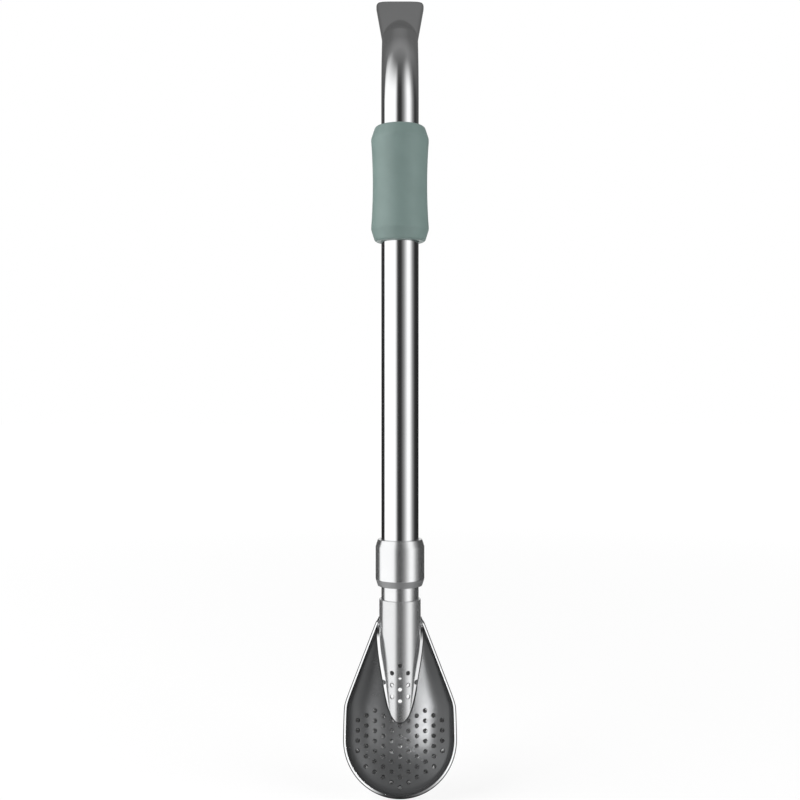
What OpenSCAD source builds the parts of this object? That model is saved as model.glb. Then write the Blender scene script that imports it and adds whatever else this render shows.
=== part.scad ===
// Mate straw (bombilla): a bent steel stem with a flattened mouthpiece and a silicone grip,
// and a double walled spoon filter that a union nut holds on the lower end of the stem.
// Millimetres, +Z up the stem, mouthpiece bent towards +Y, open side of the spoon towards -Y.
// Origin on the stem axis, half way along the bare stem between nut and grip.

/* [Stem] */
// Outside diameter of the stem tube
tube_od = 9; // [8.6:0.1:9.6]
// Wall of the stem tube
tube_wall = 0.5; // [0.4:0.05:0.6]
// Height of the start of the bend above the origin
bend_z = 69.6; // [69:0.2:84]
// Centre line radius of the bend
bend_radius = 20; // [16:0.5:28]
// Angle of the bend
bend_angle = 45; // [35:1:50]

/* [Mouthpiece] */
// Round shank of the mouthpiece, from the end of the bend
mouth_shank = 7.5; // [4:0.5:14]
// Length of the flared blade of the mouthpiece
mouth_len = 19; // [16:0.2:25]
// Width of the mouthpiece near its end
mouth_width = 12.4; // [11:0.1:14]
// Outside thickness of the mouthpiece at its end
mouth_thick = 2.6; // [2.4:0.1:3.8]
// Length over which the round tube turns flat
mouth_blend = 11; // [8:0.5:14]
// Length of the rounded end corners
mouth_corner = 1.4; // [1:0.1:4]
// Narrowing of each side within the rounded corners
mouth_tuck = 0.5; // [0.3:0.1:1.2]

/* [Grip] */
// Height of the lower face of the grip above the origin
grip_z = 36.7; // [30:0.1:38]
// Length of the grip
grip_len = 27.5; // [25:0.1:30]
// Diameter of the two shoulders of the grip
grip_od = 13.9; // [13:0.1:16]
// Depth of the waist between the shoulders
grip_waist = 0.42; // [0.2:0.02:0.8]
// Length of the upper taper
grip_head = 3; // [2.4:0.1:5]
// Length of the lower taper
grip_tail = 3; // [2.4:0.1:5]
// Loss of radius along the upper taper
grip_head_loss = 1; // [0.8:0.05:1.4]
// Loss of radius along the lower taper
grip_tail_loss = 0.95; // [0.5:0.05:1.2]
// Edge round of the grip
grip_edge = 0.8; // [0.4:0.1:1]
// Radial play between grip and tube
grip_play = 0.03; // [0.02:0.01:0.08]

/* [Coupling] */
// Distance of the top face of the nut below the origin
nut_drop = 34.5; // [30:0.1:40]
// Length of the nut
nut_len = 11.1; // [10.8:0.1:13]
// Thickness of the inward lip of the nut
nut_lip = 1.8; // [1.4:0.1:2]
// Wall left at the end faces of the nut
nut_rim = 0.37; // [0.3:0.01:0.6]
// Radial size of the end chamfers of the nut
nut_cut = 0.55; // [0.3:0.05:0.8]
// Axial size of the end chamfers of the nut
nut_cut_len = 1.7; // [1:0.1:2.2]
// Length of the retaining ring on the stem
ring_len = 1.55; // [1.2:0.05:1.8]
// Wall of the retaining ring
ring_wall = 0.38; // [0.34:0.02:0.5]
// Thickness of the silicone seal
seal_thick = 1; // [0.6:0.1:1.2]
// Pitch of the coupling thread
thread_pitch = 1; // [0.9:0.05:1.2]
// Turns of thread on the neck
thread_turns = 3; // [2:1:3]
// Height of the thread
thread_high = 0.26; // [0.22:0.01:0.28]
// Running play of turning and screwed faces
run_play = 0.08; // [0.06:0.01:0.1]
// Gap filled by brazing
braze_gap = 0.02; // [0.01:0.01:0.04]

/* [Filter tube] */
// Bare neck between nut and filter tube
neck_bare = 3.25; // [2.4:0.05:6]
// Depth of the neck inside the filter tube
neck_depth = 4.4; // [3:0.2:6]
// Wall of the filter tube
filter_wall = 0.48; // [0.4:0.02:0.6]
// Distance of the spoon's start below the upper end of the filter tube
filter_free = 4.15; // [3:0.05:8]
// Hole diameter of the whole strainer
hole_d = 1; // [0.7:0.05:1.2]
// Spacing of the holes along the tongue
tongue_pitch = 2.8; // [2.4:0.1:3.2]
// First hole of the tongue below the spoon's start
tongue_first = 10.75; // [10:0.25:12]
// Angle between the hole columns of the tongue
tongue_step = 22.5; // [18:0.5:24]

/* [Spoon] */
// Forward tilt of the spoon
spoon_tilt = 23; // [21:0.5:25]
// Distance from the neck to the centre of the round end
spoon_len = 28; // [26:0.5:32]
// Inside radius of the round end
spoon_r = 12.5; // [12:0.1:14]
// Growth of the half width per millimetre along the flank
spoon_flank = 0.38; // [0.34:0.005:0.42]
// Softness of the corner between flank and side
spoon_corner = 0.4; // [0.3:0.1:2]
// Depth of the spoon at its neck
spoon_neck_deep = 0.62; // [0.5:0.02:1.2]
// Depth of the spoon at its centre
spoon_deep = 5.05; // [4.8:0.05:5.8]
// Power of the cross section, 2 is an ellipse
spoon_power = 2.4; // [2:0.1:3]
// Thickness of the perforated front sheet of the spoon
front_sheet = 0.3; // [0.25:0.05:0.4]
// Thickness of the back sheet of the spoon
back_sheet = 0.25; // [0.2:0.05:0.4]
// Greatest depth of the hollow between the two sheets
spoon_room = 1.8; // [1:0.1:2.4]
// Gap between filter tube and spoon
hug_gap = 0.06; // [0.05:0.01:0.08]
// Length of the channel that follows the tube before it runs forward
channel_straight = 5.5; // [5:0.1:6]
// Forward tilt of the running out channel
channel_tilt = 29; // [28:0.5:31]
// Spacing of the holes in the spoon
spoon_pitch = 2.27; // [2:0.01:2.4]
// First hole of the middle column from the neck
spoon_first = 24.83; // [24:0.1:26]
// Middle of the hidden hole group from the neck
hidden_mid = 16.55; // [16:0.05:17.5]
// Spacing of the hidden holes
hidden_pitch = 2.4; // [2.2:0.05:2.6]

/* [Hidden] */
$fn = 96;

steel = [0.78, 0.78, 0.79];
silicone = [0.47, 0.55, 0.52];
seal_grey = [0.85, 0.85, 0.83];

tube_r = tube_od / 2;
bore_r = tube_r - tube_wall;
// Small overlap that lets cuts pass clean through
over = 0.5;

// Coupling, heights from the nut downwards
nut_top = -nut_drop;
nut_foot = nut_top - nut_len;
ring_play = 0.05;
ring_r = tube_r + ring_wall;
ring_top = nut_top - nut_lip - ring_play;
stem_end = ring_top - ring_len;
neck_top = stem_end - seal_thick;
seat_r = ring_r + run_play;
nut_end_r = seat_r + nut_rim;
nut_r = nut_end_r + nut_cut;
crest_r = ring_r;
root_r = crest_r - thread_high;
nut_thread_r = root_r + run_play;
groove_r = crest_r + run_play - braze_gap;
// Plain end of the neck over its first turn, and plain seat of the nut over its thread
thread_lead = 0.2;
thread_relief = 0.8;
thread_foot = neck_top - thread_lead - thread_pitch * (thread_turns + 0.5);
thread_zone_top = neck_top - thread_relief;
thread_zone_foot = thread_foot - thread_pitch / 2;
// Half widths of the thread ridge as shares of the pitch, and its play in the groove
ridge_base = 0.38 * thread_pitch;
ridge_crest = 0.14 * thread_pitch;
flank_play = 0.09 * thread_pitch;
// Depth to which the root of a ridge or groove passes its cylinder
root_sink = 0.2;
turn_steps = 36;

// Filter head
filter_r = tube_r + braze_gap + filter_wall;
filter_bore = tube_r + braze_gap;
filter_top = nut_foot - neck_bare;
neck_end = filter_top - neck_depth;
spoon_z = filter_top - filter_free;
hug_r = filter_r + hug_gap;
spoon_end = spoon_len + spoon_r;
// Start of the spoon's sheet from the neck, and how far its hollow is cut open past it
spoon_start = 0.1;
// Start of the widening flanks
flank_start = 1;
spoon_open = 3;
// End of the tube's back wall in the channel
tube_bed = 2.6;
// Gap at the tongue's seat on the spoon
weld_gap = 0.03;
// Gap between the rims of the two sheets, and the outside of the back sheet
rim_gap = 0.05;
back_in = front_sheet + rim_gap;
back_out = back_in + back_sheet;
tongue_low = spoon_z - spoon_end;

// Grid of the pressed spoon surface
flank_rows = 16;
cap_rows = 10;
cols = 36;

function clamp01(q) = min(1, max(0, q));
function smooth(q) = clamp01(q) * clamp01(q) * (3 - 2 * clamp01(q));
function soft_min(a, b, k) = (a + b - sqrt((a - b) * (a - b) + k * k)) / 2;
function unit(v) = v / norm(v);

// Points of the round of radius r at corner b between its neighbours a and c
function fillet(a, b, c, r, n = 6) =
    let (u = unit(a - b), v = unit(c - b), half = acos(u * v) / 2,
         o = b + unit(u + v) * r / sin(half), p = b + u * r / tan(half), q = b + v * r / tan(half),
         t0 = atan2(p.y - o.y, p.x - o.x), t1 = atan2(q.y - o.y, q.x - o.x),
         d = t1 - t0 > 180 ? t1 - t0 - 360 : t1 - t0 < -180 ? t1 - t0 + 360 : t1 - t0)
    [for (i = [0:n]) o + r * [cos(t0 + d * i / n), sin(t0 + d * i / n)]];

// Half width and depth of the spoon at distance w from the neck, t thicker all round and
// deeper by room in the middle
function spoon_cap(w, t, power) =
    w <= spoon_len ? 1 : pow(max(0, 1 - pow((w - spoon_len) / (spoon_r + t), power)), 1 / power);
function spoon_half(w, t) =
    soft_min(hug_r + t + spoon_flank * max(0, w - flank_start), spoon_r + t, spoon_corner)
    * spoon_cap(w, t, 2);
function spoon_floor(w, t, room) =
    let (q = clamp01(w / spoon_len))
    (spoon_neck_deep + (spoon_deep + room - spoon_neck_deep) * q * (4 - q * q * q) / 3 + t)
    * spoon_cap(w, t, spoon_power);
function spoon_section(s) = pow(1 - pow(abs(s), spoon_power), 1 / spoon_power);

// Depth of the channel of radius r that follows the back of the filter tube and then runs forward,
// to end in the floor above the round end
function channel_deep(x, w, r) =
    abs(x) >= r || w > spoon_len ? 0 :
    let (c = sqrt(r * r - x * x), lean = tan(channel_tilt))
    min((c + w * sin(spoon_tilt)) / cos(spoon_tilt),
        (c + lean * channel_straight - w * (lean * cos(spoon_tilt) - sin(spoon_tilt)))
        / (cos(spoon_tilt) + lean * sin(spoon_tilt)));
function pressed_deep(s, w, t, room, channel_r) =
    abs(s) > 0.9999 ? 0 :
    max(spoon_floor(w, t, room) * spoon_section(s), channel_deep(s * spoon_half(w, t), w, channel_r));

// Solid between the pressed surface and a flat face at height rise over the rim
module pressed_form(t, from, rise, room = 0, channel_r = 0) {
    rows = concat([from], [for (i = [0:flank_rows]) flank_start + (spoon_len - flank_start) * i / flank_rows],
                  [for (i = [1:cap_rows - 1]) spoon_len + (spoon_r + t) * sin(90 * i / cap_rows)]);
    last = len(rows) - 1;
    side = cols + 1;
    grid = [for (w = rows) for (j = [0:cols])
            let (s = sin(-90 + 180 * j / cols))
            [s * spoon_half(w, t), -w, -pressed_deep(s, w, t, room, channel_r)]];
    tip = len(grid);
    left = tip + 1;
    right = left + last + 1;
    lid_tip = right + last + 1;
    lid = rise > 0;
    points = concat(grid, [[0, -spoon_len - spoon_r - t, 0]],
                    [for (w = rows) [-spoon_half(w, t), -w, rise]],
                    [for (w = rows) [spoon_half(w, t), -w, rise]],
                    [[0, -spoon_len - spoon_r - t, rise]]);
    used = lid ? points : [for (i = [0:tip]) points[i]];
    floor_faces = [for (i = [0:last - 1]) for (j = [0:cols - 1])
                   for (f = [[i * side + j, (i + 1) * side + j, (i + 1) * side + j + 1],
                             [i * side + j, (i + 1) * side + j + 1, i * side + j + 1]]) f];
    tip_faces = [for (j = [0:cols - 1]) [last * side + j, tip, last * side + j + 1]];
    low_left = [for (i = [0:last]) i * side];
    low_right = [for (i = [0:last]) i * side + cols];
    top_left = lid ? [for (i = [0:last]) left + i] : low_left;
    top_right = lid ? [for (i = [0:last]) right + i] : low_right;
    top_tip = lid ? lid_tip : tip;
    lid_faces = concat([for (i = [0:last - 1]) [top_left[i], top_right[i], top_right[i + 1], top_left[i + 1]]],
                       [[top_left[last], top_right[last], top_tip]]);
    end_face = concat([for (j = [0:cols]) j], lid ? [right, left] : []);
    wall_faces = lid
        ? concat([for (i = [0:last - 1]) [top_left[i], top_left[i + 1], low_left[i + 1], low_left[i]]],
                 [for (i = [0:last - 1]) [top_right[i + 1], top_right[i], low_right[i], low_right[i + 1]]],
                 [[top_left[last], top_tip, tip, low_left[last]],
                  [top_tip, top_right[last], low_right[last], tip]])
        : [];
    polyhedron(used, concat(floor_faces, tip_faces, lid_faces, [end_face], wall_faces), convexity = 4);
}

// Places children in the frame of the spoon: x across, -y down along the rim, z out of the rim
module in_spoon() {
    translate([0, 0, spoon_z]) rotate([90 - spoon_tilt, 0, 0]) children();
}

// Screw ridge: turns of a trapezoid from radius r0 to r1, half widths b0 and b1
module screw(r0, r1, b0, b1, z0, from_turn, to_turn) {
    steps = round((to_turn - from_turn) * turn_steps);
    ring = [[r0, -b0], [r1, -b1], [r1, b1], [r0, b0]];
    points = [for (i = [0:steps]) for (p = ring)
              let (turn = from_turn + i / turn_steps)
              [p.x * cos(360 * turn), p.x * sin(360 * turn), z0 + thread_pitch * turn + p.y]];
    sides = [for (i = [0:steps - 1]) for (k = [0:3])
             let (a = 4 * i + k, b = 4 * i + (k + 1) % 4)
             for (f = [[a, b, a + 4], [b, b + 4, a + 4]]) f];
    ends = [[3, 2, 1, 0], [4 * steps, 4 * steps + 1, 4 * steps + 2, 4 * steps + 3]];
    polyhedron(points, concat(sides, ends), convexity = 6);
}

// Places children at the end of the bend, z along the tube
module after_bend() {
    translate([0, bend_radius * (1 - cos(bend_angle)), bend_z + bend_radius * sin(bend_angle)])
        rotate([-bend_angle, 0, 0]) children();
}

module tube_ring() {
    difference() {
        circle(r = tube_r);
        circle(r = bore_r);
    }
}

module stem_tube() {
    color(steel) union() {
        translate([0, 0, stem_end]) linear_extrude(bend_z - stem_end) tube_ring();
        translate([0, bend_radius, bend_z]) rotate([90, 0, -90])
            rotate_extrude(angle = bend_angle) translate([bend_radius, 0]) tube_ring();
    }
}

// Mesh of the mouthpiece and the power of its flat section, 2 is an ellipse
mouth_stations = 12;
corner_stations = 4;
mouth_sides = 44;
mouth_power = 4.5;

// Half width, half thickness and outline of the mouthpiece at distance u from its shank
function mouth_side(u) =
    let (k = clamp01((u - mouth_len + mouth_corner) / mouth_corner))
    tube_r + (mouth_width / 2 - tube_r) * clamp01(u / (mouth_len - mouth_corner))
    - mouth_tuck * (1 - sqrt(1 - k * k));
function mouth_half(u) = tube_r + (mouth_thick / 2 - tube_r) * smooth(u / mouth_blend);
function mouth_ring(u, t) =
    let (e = 2 / (2 + (mouth_power - 2) * smooth(u / mouth_blend)))
    [for (i = [0:mouth_sides - 1])
     let (c = cos(360 * i / mouth_sides), s = sin(360 * i / mouth_sides))
     [(mouth_side(u) - t) * sign(c) * pow(abs(c), e), (mouth_half(u) - t) * sign(s) * pow(abs(s), e), u]];

module mouthpiece() {
    body = mouth_len - mouth_corner;
    us = concat([-mouth_shank], [for (i = [0:mouth_stations - 1]) body * i / (mouth_stations - 1)],
                [for (i = [1:corner_stations]) body + mouth_corner * sin(90 * i / corner_stations)]);
    n = mouth_sides;
    last = len(us) - 1;
    inside = n * len(us);
    points = concat([for (u = us) each mouth_ring(u, 0)], [for (u = us) each mouth_ring(u, tube_wall)]);
    faces = [for (i = [0:last - 1]) for (k = [0:n - 1])
             let (a = i * n + k, b = i * n + (k + 1) % n)
             for (f = [[a, a + n, b], [b, a + n, b + n],
                       [inside + a, inside + b, inside + a + n],
                       [inside + b, inside + b + n, inside + a + n]]) f];
    ends = [for (k = [0:n - 1])
            let (a = k, b = (k + 1) % n)
            for (f = [[a, b, inside + b, inside + a],
                      [last * n + b, last * n + a, inside + last * n + a, inside + last * n + b]]) f];
    color(steel) after_bend() translate([0, 0, mouth_shank])
        polyhedron(points, concat(faces, ends), convexity = 4);
}

module retaining_ring() {
    color(steel) translate([0, 0, stem_end]) difference() {
        cylinder(h = ring_len, r = ring_r);
        translate([0, 0, -over]) cylinder(h = ring_len + 2 * over, r = tube_r + braze_gap);
    }
}

module seal_ring() {
    color(seal_grey) translate([0, 0, neck_top]) difference() {
        cylinder(h = seal_thick, r = ring_r);
        translate([0, 0, -over]) cylinder(h = seal_thick + 2 * over, r = bore_r);
    }
}

module grip_sleeve() {
    top = grip_z + grip_len;
    shoulder = grip_od / 2;
    low = [shoulder, grip_z + grip_tail];
    high = [shoulder, top - grip_head];
    foot = [shoulder - grip_tail_loss, grip_z];
    head = [shoulder - grip_head_loss, top];
    inner = tube_r + grip_play;
    half = (high.y - low.y) / 2;
    waist_r = (half * half + grip_waist * grip_waist) / (2 * grip_waist);
    waist_steps = 16;
    waist = [for (i = [0:waist_steps])
             let (z = half * (2 * i / waist_steps - 1))
             [shoulder - grip_waist + waist_r - sqrt(waist_r * waist_r - z * z), (low.y + high.y) / 2 + z]];
    color(silicone) rotate_extrude() polygon(concat(
        [[inner, grip_z]],
        fillet([inner, grip_z], foot, low, grip_edge),
        fillet(foot, low, waist[1], grip_edge),
        [for (i = [2:waist_steps - 2]) waist[i]],
        fillet(waist[waist_steps - 1], high, head, grip_edge),
        fillet(high, head, [inner, top], grip_edge),
        [[inner, top]]));
}

module union_nut() {
    profile = [[nut_end_r, nut_foot], [nut_r, nut_foot + nut_cut_len],
               [nut_r, nut_top - nut_cut_len], [nut_end_r, nut_top],
               [tube_r + run_play, nut_top], [tube_r + run_play, nut_top - nut_lip],
               [seat_r, nut_top - nut_lip], [seat_r, thread_zone_top],
               [nut_thread_r, thread_zone_top], [nut_thread_r, thread_zone_foot],
               [seat_r, thread_zone_foot], [seat_r, nut_foot]];
    color(steel) difference() {
        rotate_extrude() polygon(profile);
        screw(nut_thread_r - root_sink, groove_r, ridge_base + flank_play, ridge_crest + flank_play,
              thread_foot, -1, thread_turns + 2);
    }
}

module threaded_neck() {
    profile = [[bore_r, neck_end], [tube_r, neck_end], [tube_r, thread_zone_foot],
               [root_r, thread_zone_foot], [root_r, neck_top], [bore_r, neck_top]];
    color(steel) union() {
        rotate_extrude() polygon(profile);
        screw(root_r - root_sink, crest_r, ridge_base, ridge_crest, thread_foot, 0, thread_turns);
    }
}

// Holes of the tongue in columns: steps round the tube, pitches below the first hole, count
module tongue_holes() {
    columns = [[0, 0, 4], [-1, 0.64, 3], [1, 0.64, 3], [-2.38, 1.57, 1], [2.38, 1.57, 1]];
    for (c = columns)
        for (i = [0:c[2] - 1])
            translate([0, 0, spoon_z - tongue_first - tongue_pitch * (c[1] + i)])
                rotate([90, 0, tongue_step * c[0]])
                    translate([0, 0, filter_r / 2]) cylinder(h = filter_r, d = hole_d);
}

module filter_tube() {
    color(steel) difference() {
        intersection() {
            translate([0, 0, tongue_low]) cylinder(h = filter_top - tongue_low, r = filter_r);
            in_spoon() union() {
                translate([-2 * filter_r, -tube_bed, -4 * filter_r])
                    cube([4 * filter_r, 4 * filter_r + tube_bed, 8 * filter_r]);
                translate([0, 0, weld_gap])
                    pressed_form(0, spoon_start - spoon_open, 2 * filter_r);
            }
        }
        translate([0, 0, tongue_low - over]) cylinder(h = filter_top - tongue_low + 2 * over, r = filter_bore);
        tongue_holes();
    }
}

// Hole through the sheet of the spoon, across from the middle and down from the neck
module spoon_hole(across, down) {
    translate([across, -down, -3 * spoon_deep]) cylinder(h = 3 * spoon_deep - over, d = hole_d);
}

// Spacing of the hole columns across the spoon
column = spoon_pitch * cos(30);

// Staggered field in columns that start and end a row short at the sides
module field_holes() {
    rows = 7;
    full = 3;
    outer = 5;
    for (k = [-outer:outer])
        for (r = [max(0, abs(k) - full):rows - 1 - max(0, abs(k) - full - 1)])
            spoon_hole(k * column, spoon_first + spoon_pitch * (r - abs(k) / 2));
}

// Group of seven behind the tongue: columns from the middle, spacings from the group's middle
module hidden_holes() {
    for (p = [[0, -1], [0, 0], [0, 1], [-1, -0.4], [-1, 0.62], [1, -0.4], [1, 0.62]])
        spoon_hole(p.x * column, hidden_mid + hidden_pitch * p.y);
}

// Perforated front sheet, open where the filter tube passes into the hollow behind it
module spoon_bowl() {
    color(steel) difference() {
        in_spoon() pressed_form(front_sheet, spoon_start, 0);
        in_spoon() pressed_form(0, spoon_start - spoon_open, over);
        translate([0, 0, tongue_low]) cylinder(h = filter_top - tongue_low, r = filter_r + weld_gap);
        in_spoon() field_holes();
    }
}

// Back sheet, welded round the rim of the front one, with a channel that beds the filter tube
module spoon_back() {
    color(steel) difference() {
        in_spoon() pressed_form(back_out, spoon_start, 0, spoon_room, hug_r + back_sheet);
        in_spoon() pressed_form(back_in, spoon_start - spoon_open, over, spoon_room, hug_r);
        in_spoon() hidden_holes();
    }
}

stem_tube();
mouthpiece();
retaining_ring();
seal_ring();
grip_sleeve();
union_nut();
threaded_neck();
filter_tube();
spoon_bowl();
spoon_back();
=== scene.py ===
import math

import bpy
import numpy as np
from mathutils.geometry import delaunay_2d_cdt
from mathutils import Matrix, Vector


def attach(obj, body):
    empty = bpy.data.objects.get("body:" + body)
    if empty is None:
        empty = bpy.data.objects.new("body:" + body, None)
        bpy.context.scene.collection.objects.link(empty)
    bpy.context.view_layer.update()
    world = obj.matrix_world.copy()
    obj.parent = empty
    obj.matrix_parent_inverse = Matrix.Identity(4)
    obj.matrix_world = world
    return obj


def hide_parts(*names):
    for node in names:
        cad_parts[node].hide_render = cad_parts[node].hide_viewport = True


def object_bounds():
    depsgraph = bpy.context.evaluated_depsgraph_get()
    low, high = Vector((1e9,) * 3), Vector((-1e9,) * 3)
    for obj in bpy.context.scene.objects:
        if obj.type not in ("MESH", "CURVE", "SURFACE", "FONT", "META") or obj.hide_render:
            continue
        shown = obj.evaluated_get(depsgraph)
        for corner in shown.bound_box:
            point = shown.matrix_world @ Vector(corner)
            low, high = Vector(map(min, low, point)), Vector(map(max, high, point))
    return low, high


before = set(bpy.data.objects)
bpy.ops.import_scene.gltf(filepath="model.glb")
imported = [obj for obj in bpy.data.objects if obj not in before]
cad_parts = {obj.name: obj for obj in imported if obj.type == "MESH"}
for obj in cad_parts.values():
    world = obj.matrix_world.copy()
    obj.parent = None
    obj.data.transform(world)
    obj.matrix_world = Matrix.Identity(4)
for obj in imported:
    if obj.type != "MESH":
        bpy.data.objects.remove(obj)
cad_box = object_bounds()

# Stem tube
# A drawn stainless tube, 9 mm across with a half millimetre wall, bent back under the mouthpiece.
# It is polished lengthwise, and its foot is brazed into the retaining ring.
MM = 0.001
TUBE_R, TUBE_WALL = 4.5, 0.5
STEM_FOOT, BEND_Z = -37.9, 69.6
BEND_RADIUS, BEND = 20.0, math.radians(45)
BEND_END = BEND_Z + BEND_RADIUS * BEND
BRAZED_EDGE, CUT_EDGE = 0.012, 0.1
STRAIGHT = math.radians(89.9)


def section(corners, step=None, arc=6):
    """Closed section of a wall from its corners, each across, along and its round.
    A round of None is the widest that fits. Gives across, along and the outward normal of each point,
    with runs longer than step split up."""
    spots = np.array([c[:2] for c in corners], float)
    after = np.roll(spots, -1, 0)
    if np.sum(spots[:, 0] * after[:, 1] - after[:, 0] * spots[:, 1]) < 0:
        return section(corners[::-1], step, arc)
    rows = []
    for i, corner in enumerate(corners):
        here = spots[i]
        back, on = spots[i - 1] - here, spots[(i + 1) % len(spots)] - here
        room = min(np.hypot(*back), np.hypot(*on)) / 2
        back, on = back / np.hypot(*back), on / np.hypot(*on)
        half = math.acos(np.clip(back @ on, -1, 1)) / 2
        if half > STRAIGHT:
            rows.append([*here, on[1], -on[0]])
            continue
        reach = room if corner[2] is None else min(corner[2] / math.tan(half), room)
        radius = reach * math.tan(half)
        middle = here + (back + on) / np.hypot(*(back + on)) * radius / math.sin(half)
        outside = 1 if back[1] * on[0] - back[0] * on[1] > 0 else -1
        first, last = (here + d * reach - middle for d in (back, on))
        start = math.atan2(first[1], first[0])
        sweep = (math.atan2(last[1], last[0]) - start + math.pi) % (2 * math.pi) - math.pi
        for k in range(arc + 1):
            way = np.array([math.cos(start + sweep * k / arc), math.sin(start + sweep * k / arc)])
            rows.append([*(middle + radius * way), *(outside * way)])
    rows = np.array(rows)
    rows = rows[np.hypot(*(rows - np.roll(rows, 1, 0))[:, :2].T) > 1e-6]
    if step is None:
        return rows
    split = []
    for row, following in zip(rows, np.roll(rows, -1, 0)):
        count = max(1, math.ceil(np.hypot(*(following - row)[:2]) / step))
        for k in range(count):
            at = row + (following - row) * k / count
            split.append([*at[:2], *(row[2:] if k else at[2:])])
    return np.array(split)


def piece(name, points, faces, normals):
    """Object from points in millimetres, with one normal for each corner of each face."""
    mesh = bpy.data.meshes.new(name)
    mesh.from_pydata((np.asarray(points) * MM).tolist(), [], [list(map(int, f)) for f in faces])
    mesh.polygons.foreach_set("use_smooth", [True] * len(mesh.polygons))
    mesh.normals_split_custom_set(np.asarray(normals).tolist())
    made = bpy.data.objects.new(name, mesh)
    bpy.context.scene.collection.objects.link(made)
    return made


def turned(name, wall, place, sides):
    """Wall with a closed section carried round its axis; place(angle, across, along) gives each point."""
    across, along, lean, rise = wall.T
    angle = np.linspace(0, 2 * np.pi, sides, endpoint=False)[:, None]
    tiny = 1e-4
    by_angle = place(angle + tiny, across, along) - place(angle - tiny, across, along)
    by_across = place(angle, across + tiny, along) - place(angle, across - tiny, along)
    by_along = place(angle, across, along + tiny) - place(angle, across, along - tiny)
    normal = np.cross(by_angle, lean[:, None] * by_along - rise[:, None] * by_across)
    normal /= np.linalg.norm(normal, axis=2, keepdims=True)
    ids = np.arange(sides * len(wall)).reshape(sides, -1)
    beside = np.roll(ids, -1, 0)
    quads = np.stack([ids, beside, np.roll(beside, -1, 1), np.roll(ids, -1, 1)], -1).reshape(-1, 4)
    points = place(angle, across, along).reshape(-1, 3)
    return piece(name, points, quads, normal.reshape(-1, 3)[quads.ravel()])


def on_stem(angle, across, along):
    """Point of the tube: straight up to the bend, round its arc, and straight on after it."""
    turn = np.clip((along - BEND_Z) / BEND_RADIUS, 0, BEND)
    past = along - BEND_Z - turn * BEND_RADIUS
    side = across * np.sin(angle)
    y = BEND_RADIUS * (1 - np.cos(turn)) + past * np.sin(turn) + side * np.cos(turn)
    z = BEND_Z + BEND_RADIUS * np.sin(turn) + past * np.cos(turn) - side * np.sin(turn)
    return np.stack(np.broadcast_arrays(across * np.cos(angle), y, z), -1)


def feed(tree, into, value):
    """Links an input to the socket of another node, or sets it to a value."""
    if isinstance(value, bpy.types.NodeSocket):
        tree.links.new(value, into)
    else:
        into.default_value = value


def node(tree, kind, **sockets):
    """Node with its inputs fed, by their names or as in0, in1 and so on."""
    made = tree.nodes.new(kind)
    for key, value in sockets.items():
        numbered = key.startswith("in") and key[2:].isdigit()
        feed(tree, made.inputs[int(key[2:]) if numbered else key], value)
    return made


def figured(tree, operation, *values, clamp=False):
    """Result of a calculation on sockets or numbers."""
    made = node(tree, "ShaderNodeMath", **{f"in{k}": value for k, value in enumerate(values)})
    made.operation = operation
    made.use_clamp = clamp
    return made.outputs[0]


def spread(tree, value, start, stop, low=0.0, high=1.0, kind="LINEAR"):
    """Carries a value over from the range start to stop to the range low to high."""
    made = node(tree, "ShaderNodeMapRange", in0=value, in1=start, in2=stop, in3=low, in4=high)
    made.interpolation_type = kind
    return made.outputs[0]


def blended(tree, share, first, second):
    """Colour between two colours or sockets."""
    made = node(tree, "ShaderNodeMix", in0=share)
    made.data_type = "RGBA"
    feed(tree, made.inputs[6], first)
    feed(tree, made.inputs[7], second)
    return made.outputs[2]


def new_finish(name):
    """New material, with its node tree and its shader."""
    made = bpy.data.materials.new(name)
    made.use_nodes = True
    return made, made.node_tree, made.node_tree.nodes["Principled BSDF"]


NOISE, WORN = (0.3, 0.7), (0.1, 0.4)
CLOUDED, SMOOTHER, ROUGHER = 0.965, 0.85, 1.2


def steel(name, tone, rough, marks, depth, metal=1.0):
    """Stainless steel with fine marks of the polishing belt.
    marks are their counts per metre in x, y and z, and depth is how much they show."""
    made, tree, shader = new_finish(name)
    place = tree.nodes.new("ShaderNodeTexCoord").outputs["Object"]
    lined = node(tree, "ShaderNodeMapping", Vector=place, Scale=marks).outputs[0]
    grain = node(tree, "ShaderNodeTexNoise", Vector=lined, Scale=1.0, Detail=4.0, Roughness=0.6).outputs[0]
    cloud = node(tree, "ShaderNodeTexNoise", Vector=place, Scale=130.0, Detail=3.0).outputs[0]
    worn = figured(tree, "MULTIPLY", grain, cloud)
    shade = blended(tree, spread(tree, cloud, *NOISE), (*[t * CLOUDED for t in tone], 1), (*tone, 1))
    bump = node(tree, "ShaderNodeBump", Height=grain, Strength=depth, Distance=2e-6).outputs[0]
    feed(tree, shader.inputs["Base Color"], shade)
    feed(tree, shader.inputs["Roughness"], spread(tree, worn, *WORN, rough * SMOOTHER, rough * ROUGHER))
    feed(tree, shader.inputs["Normal"], bump)
    feed(tree, shader.inputs["Metallic"], metal)
    return made


STEEL_TONE = (0.80, 0.805, 0.81)
stem_steel = steel("stem_steel", STEEL_TONE, 0.11, (2600, 2600, 40), 0.05)
stem = turned("stem_pipe", section([
    (TUBE_R - TUBE_WALL, STEM_FOOT, CUT_EDGE), (TUBE_R, STEM_FOOT, CUT_EDGE),
    (TUBE_R, BEND_END, BRAZED_EDGE), (TUBE_R - TUBE_WALL, BEND_END, BRAZED_EDGE)], step=0.8), on_stem, 96)
stem.data.materials.append(stem_steel)
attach(stem, "stem")
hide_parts("stem_tube")

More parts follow.
